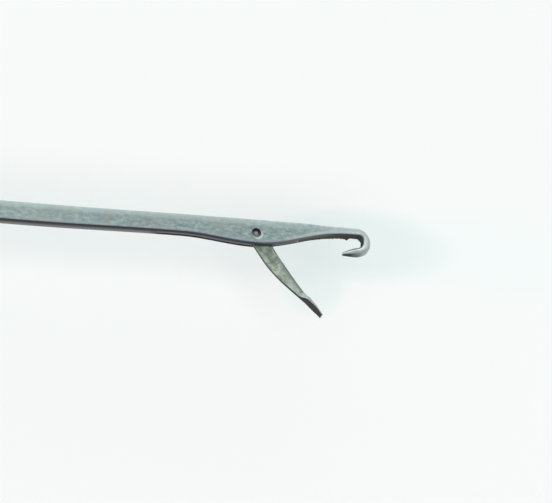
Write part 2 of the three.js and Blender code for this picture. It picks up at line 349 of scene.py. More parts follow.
def close_end(bm, loop):
    """The cap on the open end of a bar, with all its faces turned outwards."""
    bm.faces.new(loop)
    bmesh.ops.recalc_face_normals(bm, faces=bm.faces)


def plate(outline, thick):
    """A flat plate cut to an outline, centred in the bar's thickness."""
    bm = bmesh.new()
    face = bm.faces.new([bm.verts.new((x, y, MIDDLE - thick / 2)) for x, y in outline])
    made = bmesh.ops.extrude_face_region(bm, geom=[face])
    moved = [g for g in made["geom"] if isinstance(g, bmesh.types.BMVert)]
    bmesh.ops.translate(bm, vec=(0, 0, thick), verts=moved)
    bmesh.ops.recalc_face_normals(bm, faces=bm.faces)
    return bm


def turned(profile):
    """A solid turned about the rivet's axis, from (radius, height) points that start and end on it."""
    bm = bmesh.new()
    verts = [bm.verts.new((r, 0, h)) for r, h in profile]
    edges = [bm.edges.new(pair) for pair in zip(verts, verts[1:])]
    bmesh.ops.spin(
        bm,
        geom=verts + edges,
        cent=(0, 0, 0),
        axis=(0, 0, 1),
        angle=2 * pi,
        steps=TURNED_SIDES,
        use_merge=True,
    )
    bmesh.ops.remove_doubles(bm, verts=bm.verts, dist=WELD)
    bmesh.ops.recalc_face_normals(bm, faces=bm.faces)
    return bm


def piece(name, bm):
    """A named object with a finished mesh, in the scene."""
    mesh = bpy.data.meshes.new(name)
    bm.to_mesh(mesh)
    bm.free()
    thing = bpy.data.objects.new(name, mesh)
    bpy.context.scene.collection.objects.link(thing)
    return thing


def bake_modifiers(thing):
    """Makes what an object's modifiers do a part of its mesh."""
    graph = bpy.context.evaluated_depsgraph_get()
    mesh = bpy.data.meshes.new_from_object(thing.evaluated_get(graph))
    thing.modifiers.clear()
    thing.data = mesh


def carve(thing, cutter):
    """Cuts one solid out of another."""
    tool = piece("cutter", cutter)
    cut = thing.modifiers.new("cut", "BOOLEAN")
    cut.operation = "DIFFERENCE"
    cut.solver = "EXACT"
    cut.object = tool
    bake_modifiers(thing)
    bpy.data.objects.remove(tool)


def finish_mesh(thing, sharp_degrees, turn_degrees=0, masks=(), soft_masks=()):
    """Smooths a piece's shading, keeps its sharp edges, and sets it in its place in metres.

    Each mask is a name and a function of a face, and a soft mask one of a corner point. They are kept on
    the mesh for the finish to read.
    """
    bm = bmesh.new()
    bm.from_mesh(thing.data)
    bmesh.ops.remove_doubles(bm, verts=bm.verts, dist=FINAL_WELD)
    bmesh.ops.dissolve_degenerate(bm, edges=bm.edges, dist=WELD)
    bm.normal_update()
    for name, value in masks:
        layer = bm.faces.layers.float.new(name)
        for face in bm.faces:
            face[layer] = value(face)
    for name, value in soft_masks:
        layer = bm.verts.layers.float.new(name)
        for vert in bm.verts:
            vert[layer] = value(vert.co)
    for face in bm.faces:
        face.smooth = True
    for edge in bm.edges:
        edge.smooth = len(edge.link_faces) == 2 and edge.calc_face_angle() < radians(sharp_degrees)
    place = Matrix.Translation(PIVOT) @ Matrix.Scale(MM, 4) @ Matrix.Rotation(radians(turn_degrees), 4, "Z")
    bmesh.ops.transform(bm, matrix=place, verts=bm.verts)
    bm.to_mesh(thing.data)
    bm.free()
    weighted = thing.modifiers.new("flat faces stay flat", "WEIGHTED_NORMAL")
    weighted.keep_sharp = True
    weighted.weight = FLAT_WEIGHT
    return thing


# The bar: ring, shank, head and hook in one length of wire


def back_edge(x):
    """The straight edge, pressed out a little over the slotted head."""
    if x < -SWELL_TOP_REAR:
        return BACK_EDGE + SWELL * rise(x, -SWELL_REAR, SWELL_REAR - SWELL_TOP_REAR)
    return mix(BACK_EDGE + SWELL, BEAM_BACK_Y, rise(x, SWELL_TOP_FRONT, SWELL_FRONT_RUN))


def lower_edge(x):
    """The shaped edge: the shank's taper, the belly round the rivet, and the rise to the beam."""
    if x > 0:
        slimmer = HOOK_RISE * rise(x, HOOK_RISE_START, HOOK_X - HOOK_RISE_START)
        return mix(-BELLY, BEAM_BACK_Y - BEAM_WIDTH, ease(x / BELLY_FRONT_RUN)) + slimmer
    width = mix(WAIST_WIDTH, SHANK_WIDTH, rise(-x, TAPER_START, TAPER_RUN))
    return mix(-BELLY, BACK_EDGE - width, ease(-x / BELLY_REAR_RUN))


def nose_sections():
    """The hook's rounded point, from its end backwards."""
    nose = TIP_WIDTH / 2
    taper = ARM_LENGTH - nose
    y = HOOK_Y - HOOK_INNER - ARM_WIDTH + nose
    for turn in spread(*NOSE_TURNS, NOSE_STEP):
        shape = section(TIP_WIDTH * cos(turn), TIP_THICK - TIP_WIDTH * (1 - cos(turn)), HOOK_ROUND)
        yield placed(shape, HOOK_X - taper - nose * sin(turn), y, 0)


def arm_sections():
    """The hook's arm, which thickens from its point to the bend."""
    taper = ARM_LENGTH - TIP_WIDTH / 2
    low = HOOK_Y - HOOK_INNER - ARM_WIDTH
    for t in spread(1, 0, ARM_STEP):
        width = mix(ARM_WIDTH, TIP_WIDTH, t**TAPER_POWER)
        thick = mix(HOOK_THICK, TIP_THICK, t**TAPER_POWER)
        yield placed(section(width, thick, HOOK_ROUND), HOOK_X - taper * t, low + width / 2, 0)


def bend_round(at_beam, turn):
    """The rounding along the outside of the bend: the beam's, then a small one, then the arm's full one."""
    if turn > 0:
        return mix(BEND_ROUND, at_beam, ease(turn / (pi / 2)))
    return mix(BEND_ROUND, HOOK_ROUND, ease(-turn / (pi / 2)))


def bend_hollow(turn):
    """How much squarer than a true round the inside of the bend is, on its side towards the beam."""
    turn = max(turn, 0)
    return HOOK_RISE * ease(turn / (pi / 2)) + HOOK_CORNER * sin(2 * turn) ** 2


def bend_sections():
    """The hook's bend, from the arm round to the beam."""
    for turn in spread(-pi / 2, pi / 2, BEND_STEP)[1:]:
        width = mix(BEAM_WIDTH if turn > 0 else ARM_WIDTH, HOOK_WIDTH, cos(turn) ** 2)
        heel = HOOK_HEEL * sin(pi * min(max(turn / HOOK_HEEL_TURN, -1), 0)) ** 2
        outside = HOOK_INNER + width + heel
        width = outside - HOOK_INNER - bend_hollow(turn)
        reach = outside - width / 2
        rounding = ease((pi / 2 - turn) / (pi / 2))
        thick = mix(THICK, HOOK_THICK, rounding)
        outer = (bend_round(EDGE_ROUND, turn), bend_round(BACK_ROUND_DEEP, turn))
        shape = section(width, thick, mix(EDGE_ROUND, HOOK_ROUND, rounding), outer)
        shape = worn(shape, width, thick, chip(HOOK_X + HOOK_INNER * (pi / 2 - turn)))
        yield placed(shape, HOOK_X + reach * cos(turn), HOOK_Y + reach * sin(turn), turn + pi / 2)


def back_round(x):
    """How far the worn rounding of the back edge reaches across the face: less along the slim beam."""
    return mix(EDGE_ROUND, BACK_ROUND, fall(x, *BACK_ROUND_ENDS))


def head_sections():
    """The beam, the cheeks round the latch, the waist and the taper up to the plain shank."""
    rear = -TAPER_START - TAPER_RUN
    stations = spread(HOOK_X, BEAM_START, BEAM_STEP)[1:]
    stations += spread(BEAM_START, -BELLY_REAR_RUN, HEAD_STEP)[1:]
    for x in stations + spread(-BELLY_REAR_RUN, rear, TAPER_STEP)[1:]:
        high, low = back_edge(x), lower_edge(x)
        shape = section(high - low, THICK, EDGE_ROUND, (back_round(x), BACK_ROUND_DEEP))
        shape = worn(shape, high - low, THICK, chip(x))
        yield placed(shape, x, (high + low) / 2, pi)


def chip(along):
    """How deep the far lower corner is worn away; below 0 it stands out as a burr."""
    rough = sum(depth * noise.noise(Vector((along * pace, seed, 0))) for depth, pace, seed in CHIPS)
    rough *= rise(along, *RAGGED_STARTS) * fall(along, *RAGGED_ENDS)
    ground = mix(GROUND_SHANK, GROUND_HEAD, rise(along, *GROUND_DEEPENS))
    ground *= mix(1, GROUND_BEAM_SHARE, rise(along, *GROUND_LESSENS))
    ground *= rise(along, *GROUND_STARTS) * fall(along, *GROUND_ENDS)
    notch = NOTCH * rise(along, *NOTCH_STARTS) * fall(along, *NOTCH_ENDS)
    burr = sum(height * exp(-(((along - place) / breadth) ** 2)) for height, place, breadth in BURRS)
    return rough + ground + notch - burr


def worn(shape, width, thick, depth):
    """A section whose far inner corner is worn away to a depth, or drawn out where that is below 0."""
    points = []
    for across, up in shape:
        from_side, from_far = width / 2 - across, up + thick / 2
        cut = max(0, depth - from_side - from_far) / 2
        pulled = min(depth, 0) * max(0, 1 - (abs(from_side) + from_far) / BURR_REACH)
        points.append((across - cut - pulled, up + cut))
    return points


def bar_body():
    """The whole wire in one length, from the hook's point to the ring's end."""
    bm = bmesh.new()
    loop = draw_out(bm, [*nose_sections(), *arm_sections(), *bend_sections(), *head_sections()])
    flat = section(SHANK_WIDTH, THICK, EDGE_ROUND, (BACK_ROUND, BACK_ROUND_DEEP))
    for x in spread(-TAPER_START - TAPER_RUN, NECK_X - NECK_STRAIGHT, SHANK_STEP)[1:]:
        loop = pull(bm, loop, placed(worn(flat, SHANK_WIDTH, THICK, chip(x)), x, SHANK_Y, pi))
    neck_angle = atan2(NECK_BEND, NECK_REACH)
    neck_x = RING_X + NECK_REACH
    loop = spin(bm, loop, (neck_x, SHANK_Y + NECK_BEND), neck_angle - pi / 2, NECK_STEP)
    outer = RING_DIAMETER / 2
    centres = RING_RADIUS + NECK_BEND
    keep_off = NECK_BEND + SHANK_WIDTH / 2 + RING_END_GAP
    closing = acos((centres**2 + outer**2 - keep_off**2) / (2 * outer * centres)) - neck_angle
    loop = spin(bm, loop, (RING_X, SHANK_Y), 2 * pi - closing - neck_angle, RING_STEP)
    close_end(bm, loop)
    return bm


# The latch: its inner edge, its outer edge and its breadth, each by the distance from the rivet

latch_inner = curve_through(
    [
        (0, ROOT_RADIUS),
        (BELLY_STATION, BELLY_INNER),
        (NECK_STATION, SPOON_INNER),
        (LATCH_LENGTH, SPOON_INNER),
    ]
)
latch_outer = curve_through(
    [
        (0, -ROOT_RADIUS),
        (BELLY_STATION, -BELLY_OUTER),
        (NECK_STATION, -NECK_OUTER),
        (SPOON_HEEL, SPOON_INNER - SPOON_HEEL_DEPTH),
        (LATCH_LENGTH, SPOON_INNER - SPOON_TIP_WALL),
    ]
)
latch_breadth = curve_through(
    [
        (0, LATCH_THICK),
        (NECK_STATION, LATCH_THICK),
        (SPOON_HEEL, SPOON_HEEL_WIDTH),
        ((SPOON_HEEL + LATCH_LENGTH) / 2, SPOON_WIDTH),
        (LATCH_LENGTH, SPOON_TIP_WIDTH),
    ]
)


def latch_body():
    """The latch's blade and spoon along +X, before it is swung open."""
    bm = bmesh.new()
    rings = []
    for turn in spread(pi - ROOT_STEP, pi / 2, ROOT_STEP):
        root = section(2 * ROOT_RADIUS * sin(turn), LATCH_THICK, LATCH_EDGE, steps=LATCH_ROUND_STEPS)
        rings.append(placed(root, ROOT_RADIUS * cos(turn), 0, 0))
    for u in spread(0, LATCH_LENGTH, LATCH_STEP)[1:]:
        inner, outer, breadth = latch_inner(u), latch_outer(u), latch_breadth(u)
        scooped = rise(u, NECK_STATION, SPOON_FLARE)
        deep = mix(LATCH_EDGE, SPOON_BACK_DEEP * (inner - outer), scooped)
        broad = mix(LATCH_EDGE, SPOON_BACK_BROAD * breadth / 2, scooped)
        edge = mix(LATCH_EDGE, LATCH_INNER_EDGE, rise(u, ROOT_RADIUS, ROOT_RADIUS))
        shape = section(inner - outer, breadth, edge, (deep, broad), LATCH_ROUND_STEPS)
        rings.append(placed(shape, u, (inner + outer) / 2, 0))
    close_end(bm, draw_out(bm, rings))
    return bm


def spoon_cup():
    """The hollow of the spoon: half an egg, tilted so that it is deepest at the heel."""
    depth = SPOON_HEEL_DEPTH - CUP_HEEL_WALL
    bm = bmesh.new()
    bmesh.ops.create_uvsphere(bm, u_segments=CUP_SIDES, v_segments=CUP_RINGS, radius=1)
    bmesh.ops.scale(bm, vec=(CUP_LENGTH / 2, depth, CUP_WIDTH / 2), verts=bm.verts)
    tilt = Matrix.Rotation(atan(depth / CUP_LENGTH), 3, "Z")
    bmesh.ops.rotate(bm, cent=(0, 0, 0), matrix=tilt, verts=bm.verts)
    centre = (SPOON_HEEL + CUP_LENGTH / 2, SPOON_INNER + depth / 2, MIDDLE)
    bmesh.ops.translate(bm, vec=centre, verts=bm.verts)
    return bm


def drum(radius, height):
    """A cylinder about the rivet's axis, centred in the bar."""
    low, high = MIDDLE - height / 2, MIDDLE + height / 2
    return turned([(0, low), (radius, low), (radius, high), (0, high)])


def height_at(points, x):
    """The height of a run of points at x, or far below where the run doesn't reach."""
    for (x0, y0), (x1, y1) in zip(points, points[1:]):
        if x0 != x1 and min(x0, x1) <= x <= max(x0, x1):
            return mix(y0, y1, (x - x0) / (x1 - x0))
    return -2 * BELLY


def latch_slot():
    """The slot between the cheeks: all that lies below the latch's upper reach at both ends of its swing.

    Behind the latch it runs out in a groove along the shank's edge.
    """
    closed, folded = radians(LATCH_CLOSED), radians(LATCH_FOLDED)
    stations = spread(0, NECK_STATION, LATCH_STEP)
    over_closed = [Matrix.Rotation(closed, 2) @ Vector((u, latch_inner(u) + SLOT_FLOOR)) for u in stations]
    over_folded = [Matrix.Rotation(folded, 2) @ Vector((u, latch_outer(u) - SLOT_FLOOR)) for u in stations]
    root = ROOT_RADIUS + SLOT_FLOOR
    over_root = [(root * cos(a), root * sin(a)) for a in spread(0, pi, SLOT_ROOT_STEP)]
    groove = [(-GROOVE_LENGTH, lower_edge(-GROOVE_LENGTH) + GROOVE_END_DEPTH), (0, 0)]
    end = NECK_STATION * cos(closed)
    runs = (over_closed, over_folded, over_root, groove, [(0, 0), (end, NECK_STATION * sin(closed))])
    top = [(x, max(height_at(run, x) for run in runs)) for x in spread(-GROOVE_LENGTH, end, SLOT_STEP)]
    return plate([(-GROOVE_LENGTH, -2 * BELLY), (end, -2 * BELLY)] + top[::-1], SLOT_WIDTH)


def slot_lip():
    """A long diamond that breaks the edge of the slot on its lower side."""
    corners = ((SLOT_LIP, 0), (0, SLOT_LIP), (-SLOT_LIP, 0), (0, -SLOT_LIP))
    bm = bmesh.new()
    rings = []
    for x in spread(SLOT_LIP_START, SLOT_LIP_END, LIP_STEP):
        y, z = lower_edge(x), MIDDLE - SLOT_WIDTH / 2
        rings.append([Vector((x, y + a, z + b)) for a, b in corners])
    close_end(bm, draw_out(bm, rings))
    return bm


def rivet_seat():
    """The rivet's hole through both cheeks, opened out at each end for the spread heads."""
    shaft = RIVET_SHAFT + SEAT_CLEARANCE
    upper = [
        (shaft, THICK - RIVET_RECESS - SEAT_CONE),
        (RIVET_HEAD + SEAT_CLEARANCE, THICK - RIVET_RECESS),
        (SEAT_MOUTH, THICK + CUT_PAST),
        (0, THICK + CUT_PAST),
    ]
    return turned([(r, THICK - h) for r, h in upper][::-1] + upper)


def dent(near):
    """A shallow dent beside the rivet, left when it was peened, in the near or the far face.

    Its floor is hardly lower than the face; only its slope shows, as a thin crescent with a painted
    highlight.
    """
    slope = (DENT_RADIUS - DENT_FLOOR) / DENT_DEPTH
    low, high = THICK - DENT_DEPTH, THICK + CUT_PAST
    upper = [(0, low), (DENT_FLOOR, low), (DENT_RADIUS + CUT_PAST * slope, high), (0, high)]
    bm = turned(upper if near else [(r, THICK - h) for r, h in upper])
    bmesh.ops.translate(bm, vec=(*DENT_CENTRE, 0), verts=bm.verts)
    return bm


def rivet_body():
    """The rivet: a shaft whose two ends are spread by a punch that left a dimple in each."""
    rim = THICK - RIVET_RECESS
    floor = rim - RIVET_DIMPLE
    upper = [
        (RIVET_SHAFT, rim - SEAT_CONE),
        (RIVET_HEAD, rim - RIVET_CHAMFER),
        (RIVET_HEAD - RIVET_CHAMFER, rim),
        (RIVET_HEAD - RIVET_RIM, rim),
        (RIVET_FLAT + DIMPLE_CORNER[0], floor + DIMPLE_CORNER[1]),
        (RIVET_FLAT, floor),
        (0, floor),
    ]
    return turned([(r, THICK - h) for r, h in upper][::-1] + upper)


# Where the finish changes: numbers from 0 to 1, worked out on the faces and corners of the pieces

STEEP = 0.9
HAIR = 0.01
RIM_REACH = 0.32

# How far a face is turned where painted shade starts on it as a dark edge, and the change until it is full
UNDER_BEND = (0.55, 0.4)
INSIDE_BEND = (0.28, 0.4)
UNDER_ARM = (0.5, 0.35)
INSIDE_ARM = (0.05, 0.3)
OFF_FACE = (0.97, 0.2)
LATCH_CUT_TURN = (0.8, 0.3)
SPOON_BACK_TURN = (0.12, 0.3)
ARM_SHADE = 0.85
BEND_SHADE = 0.5

# Where a finish starts along the bar or the latch, and the length that it takes
EDGE_DARKENS = (-60, 30)
BEND_STARTS = (HOOK_X, 0.8)
ARM_STARTS = (HOOK_X, 0.6)
ARM_GLEAM = (HOOK_X, 0.7)
BEND_GLEAM = (HOOK_INNER + 0.6, 0.4)
LATCH_CUT_ENDS = (NECK_STATION, 1.5)
SPOON_SHINES = (NECK_STATION - 0.25, 0.2)
BRINK_DARKENS = (2.7, 1.1)
DIMPLE_DARKENS = (RIVET_FLAT, 0.04)

# How far behind its own end, and how far inside the lower and the back edge, the slot still counts
SLOT_MARGINS = (0.05, 0.03, 0.1)
DENT_DULL = 0.35
DENT_SPREAD = 1.2
LATCH_BRINK = 0.06


def on_arm(point):
    """Whether a point of the bar lies on the hook's arm, below its opening."""
    return point.x > HOOK_X - 2 * ARM_LENGTH and point.y < HOOK_Y - HOOK_INNER


def from_bend(point):
    """The way from the centre of the hook's bend to a point, across the bar's face."""
    return point.xy - Vector((HOOK_X, HOOK_Y))


def bar_painted_shade(face):
    """1 for painted shade on the head's lower edge, inside the hook and round its arm; 0 on the faces and
    back.
    """
    middle, normal = face.calc_center_median(), face.normal
    if middle.x > HOOK_X:
        inward = -from_bend(middle).normalized().dot(normal.xy)
        under = rise(-normal.y, *UNDER_BEND) * mix(ARM_SHADE, BEND_SHADE, rise(middle.x, *BEND_STARTS))
        return max(rise(inward, *INSIDE_BEND), under)
    if on_arm(middle):
        under = rise(-normal.y, *UNDER_ARM) * mix(ARM_SHADE, 1, fall(middle.x, *ARM_STARTS))
        # The arm's upper side is darkened too, a painted dark reflection of the beam above it
        return max(under, ARM_SHADE * rise(normal.y, *INSIDE_ARM))
    if normal.y < 0:
        return fall(abs(normal.z), *OFF_FACE) * rise(middle.x, *EDGE_DARKENS)
    return 0.0


def in_slot(face):
    """1 inside the slot between the cheeks."""
    middle = face.calc_center_median()
    behind, above, below = SLOT_MARGINS
    if not -GROOVE_LENGTH - behind < middle.x < NECK_STATION:
        return 0.0
    between = all(abs(v.co.z - MIDDLE) < SLOT_WIDTH / 2 + HAIR / 2 for v in face.verts)
    return float(between and lower_edge(middle.x) + above < middle.y < back_edge(middle.x) - below)


def seat_painted_shade(face):
    """1 on the wall of the rivet's hole, where shade is painted."""
    reach = face.calc_center_median().xy.length
    return float(RIVET_SHAFT < reach < SEAT_MOUTH + HAIR and abs(face.normal.z) < STEEP)


def painted_dent_share(face):
    """1 for a painted highlight on the slope of the dent beside the rivet, towards the hook and the belly.
    """
    middle = face.calc_center_median()
    out = middle.xy - Vector(DENT_CENTRE)
    depth = min(middle.z, THICK - middle.z)
    on_slope = DENT_FLOOR < out.length < DENT_RADIUS and WELD < depth < DENT_DEPTH
    facing = out.normalized().dot(Vector(DENT_BRIGHT_WAY))
    return on_slope * mix(DENT_DULL, 1, ease(DENT_SPREAD * facing))


def painted_gleam_share(point):
    """1 for a painted highlight on the hook: round the inside of its bend and towards its point."""
    if point.x > HOOK_X:
        return fall(from_bend(point).length, *BEND_GLEAM)
    return fall(point.x, *ARM_GLEAM) if on_arm(point) else 0.0


def painted_rim_share(point):
    """1 for a painted highlight along the lower edge of a broad face, and 0 further in."""
    if not -TAPER_START - TAPER_RUN <= point.x <= HOOK_X:
        return 0.0
    return fall(point.y - lower_edge(point.x), EDGE_ROUND + RIM_REACH, RIM_REACH)


def latch_painted_shade(face):
    """1 for painted shade on the latch's cut edges and the back of its spoon."""
    middle, normal = face.calc_center_median(), face.normal
    if middle.x >= NECK_STATION:
        return rise(-normal.y, *SPOON_BACK_TURN)
    cut = fall(abs(normal.z), *LATCH_CUT_TURN)
    return cut if normal.y < 0 else cut * fall(middle.x, *LATCH_CUT_ENDS)


def latch_polish(face):
    """1 on the bright rim of the spoon and its flare."""
    return rise(face.calc_center_median().x, *SPOON_SHINES)


def latch_brink(point):
    """1 along the latch's darker inner edge, 0 further in."""
    from_edge = latch_inner(point.x) - point.y
    return fall(from_edge, LATCH_BRINK + RIM_REACH, RIM_REACH) * rise(point.x, *BRINK_DARKENS)


def rivet_painted_shade(face):
    """1 for painted shade on the rim and sides of the rivet's dimple, 0 on its flat bottom."""
    return rise(face.calc_center_median().xy.length, *DIMPLE_DARKENS)


# The three pieces

bar = piece("bar", bar_body())
for cutter in (latch_slot(), slot_lip(), dent(True), dent(False), rivet_seat()):
    carve(bar, cutter)
finish_mesh(
    bar,
    sharp_degrees=24,
    masks=[("wall", bar_painted_shade), ("slot", in_slot), ("seat", seat_painted_shade), ("dent", painted_dent_share)],
    soft_masks=[("rim", painted_rim_share), ("gleam", painted_gleam_share)],
)

latch = piece("latch_blade", latch_body())
for cutter in (spoon_cup(), drum(RIVET_SHAFT + BORE_CLEARANCE, 2 * THICK)):
    carve(latch, cutter)
finish_mesh(
    latch,
    sharp_degrees=38,
    turn_degrees=LATCH_OPEN,
    masks=[("wall", latch_painted_shade), ("polish", latch_polish)],
    soft_masks=[("brink", latch_brink)],
)

rivet = piece("rivet", rivet_body())
finish_mesh(rivet, sharp_degrees=20, masks=[("wall", rivet_painted_shade)])


# Finishes


class Wire:
    """A value in a shader, which joins in sums with numbers and with other values."""

    def __init__(self, shader, socket):
        self.shader = shader
        self.socket = socket

    def math(self, operation, *terms):
        return self.shader.node("ShaderNodeMath", {"operation": operation}, dict(enumerate(terms)))

    def __add__(self, other):
        return self.math("ADD", self, other)

    def __sub__(self, other):
        return self.math("SUBTRACT", self, other)

    def __mul__(self, other):
        return self.math("MULTIPLY", self, other)

    def __truediv__(self, other):
        return self.math("DIVIDE", self, other)

    def __pow__(self, other):
        return self.math("POWER", self, other)

    def __rsub__(self, other):
        return self.math("SUBTRACT", other, self)

    __radd__ = __add__
    __rmul__ = __mul__

    def squared(self):
        return self * self

    def at_least(self, low):
        return self.math("MAXIMUM", self, low)


class Shader:
    """The nodes of a material or of the world, with the patterns that feed them."""

    def __init__(self, owner):
        owner.use_nodes = True
        self.tree = owner.node_tree
        self.tree.nodes.clear()

    @cached_property
    def place(self):
        """The place on a piece, in millimetres."""
        metres = self.node("ShaderNodeTexCoord", {}, {}, "Object")
        return self.node("ShaderNodeVectorMath", {"operation": "SCALE"}, {0: metres, "Scale": 1 / MM})

    def node(self, kind, settings, inputs, output=0):
        """Any node, from its type, its settings, and the values or links of its sockets."""
        made = self.tree.nodes.new(kind)
        for key, value in settings.items():
            setattr(made, key, value)
        for key, value in inputs.items():
            if isinstance(value, Wire):
                self.tree.links.new(value.socket, made.inputs[key])
            else:
                made.inputs[key].default_value = value
        return Wire(self, made.outputs[output]) if made.outputs else made

    def parts(self, vector):
        """The three numbers of a vector."""
        return [self.node("ShaderNodeSeparateXYZ", {}, {0: vector}, i) for i in range(3)]

    def from_rivet(self):
        """The place in millimetres from the rivet's axis, as the shapes are drawn."""
        x, y, z = self.parts(self.place)
        return x - PIVOT.x / MM, y - PIVOT.y / MM, z

    def stretched(self, x, y, z):
        """The place in millimetres, stretched along the axes to draw a pattern out."""
        return self.node("ShaderNodeVectorMath", {"operation": "MULTIPLY"}, {0: self.place, 1: (x, y, z)})

    def noise(self, scale, detail, roughness=0.5, where=None):
        """A cloudy pattern: how close it follows, how fine it goes, and how strong its fine part is."""
        return self.node(
            "ShaderNodeTexNoise",
            {},
            {"Vector": where or self.place, "Scale": scale, "Detail": detail, "Roughness": roughness},
            "Fac",
        )

    def clamp(self, value, low, high):
        """0 below low, 1 above high, and smooth between."""
        return self.node(
            "ShaderNodeMapRange",
            {"interpolation_type": "SMOOTHSTEP"},
            {"Value": value, "From Min": low, "From Max": high},
        )

    def blend(self, amount, first, second):
        """A colour between two colours."""
        first, second = [(*c, 1) if isinstance(c, tuple) else c for c in (first, second)]
        return self.node("ShaderNodeMix", {"data_type": "RGBA"}, {0: amount, 6: first, 7: second}, 2)

    def mask(self, name):
        """A number kept on the mesh."""
        return self.node("ShaderNodeAttribute", {"attribute_name": name}, {}, "Fac")

    def bump(self, height, distance):
        """A fine relief from a pattern."""
        return self.node("ShaderNodeBump", {}, {"Height": height, "Distance": distance, "Strength": 0.6})

    def surface(self, colour, roughness, **more):
        """A plain surface: its gloss comes from bare metal alone."""
        inputs = {"Base Color": colour, "Roughness": roughness, "Specular IOR Level": 0.0, **more}
        shade = self.node("ShaderNodeBsdfPrincipled", {}, inputs)
        self.node("ShaderNodeOutputMaterial", {}, {"Surface": shade})


# Colours of the bar. A pair goes from the dark to the light end of its mottling, or up across an edge.
SATIN = ((0.21, 0.288, 0.284), (0.48, 0.6, 0.58))
POLISHED = ((0.53, 0.595, 0.59), (0.64, 0.715, 0.705))
PALE_SHANK = (0.6, 0.66, 0.65)
BLUE_TINT = (0.3, 0.4, 0.44)
BROWN_TINT = (0.4, 0.415, 0.36)
# Painted highlight along the back rounding
BACK_HIGHLIGHT = (0.62, 0.71, 0.7)
# Painted highlights along the lower edge of each face, the second one stronger towards the beam
RIM_HIGHLIGHT = (0.5, 0.58, 0.6)
BEAM_RIM_HIGHLIGHT = (0.72, 0.79, 0.79)
# Painted highlight round the inside of the hook's bend and towards its point
PAINTED_GLEAM = (0.75, 0.84, 0.805)
# Painted shade on the edge walls that face down, graded up each wall
REAR_EDGE_SHADE = ((0.25, 0.245, 0.23), (0.05, 0.052, 0.06))
LOWER_CHEEK_SHADE = ((0.09, 0.09, 0.07), (0.022, 0.022, 0.02))
UPPER_CHEEK_SHADE = ((0.1, 0.095, 0.12), (0.045, 0.055, 0.07))
FRONT_EDGE_SHADE = ((0.085, 0.08, 0.07), (0.125, 0.15, 0.15))
BEAM_EDGE_SHADE = ((0.06, 0.056, 0.045), (0.06, 0.07, 0.073))
# The slot's inside is painted a pale dull grey so that it reads as lit
SLOT_PAINTED_LIT = (0.33, 0.32, 0.33)
# Painted shade on the wall of the rivet's hole
SEAT_SHADE = (0.05, 0.05, 0.05)
# Painted highlight on one side of the dent's slope
DENT_HIGHLIGHT = (0.68, 0.71, 0.6)

# Colours of the latch
TARNISHED = ((0.12, 0.155, 0.125), (0.5, 0.59, 0.51))
SCRAPED = (0.57, 0.67, 0.59)
PALE_OUTER = (0.66, 0.72, 0.63)
OLIVE_TINT = (0.27, 0.29, 0.19)
DARK_SPOT = (0.14, 0.155, 0.1)
DARK_PATCH = (0.17, 0.2, 0.12)
SPOON_RIM = ((0.27, 0.34, 0.3), (0.55, 0.6, 0.61))
DARK_BRINK = ((0.14, 0.17, 0.175), (0.36, 0.42, 0.45))
# Painted shade on the latch's cut edges and the back of its spoon
LATCH_CUT_SHADE = ((0.12, 0.13, 0.12), (0.055, 0.053, 0.05))

# Colours of the rivet
PEENED = ((0.27, 0.25, 0.24), (0.47, 0.43, 0.42))
# Painted shade in the dimple, lighter towards its lower left
DIMPLE_SHADE = ((0.19, 0.2, 0.17), (0.035, 0.035, 0.038))

MOTTLE = (0.3, 0.7)
RELIEF = 1.6e-5


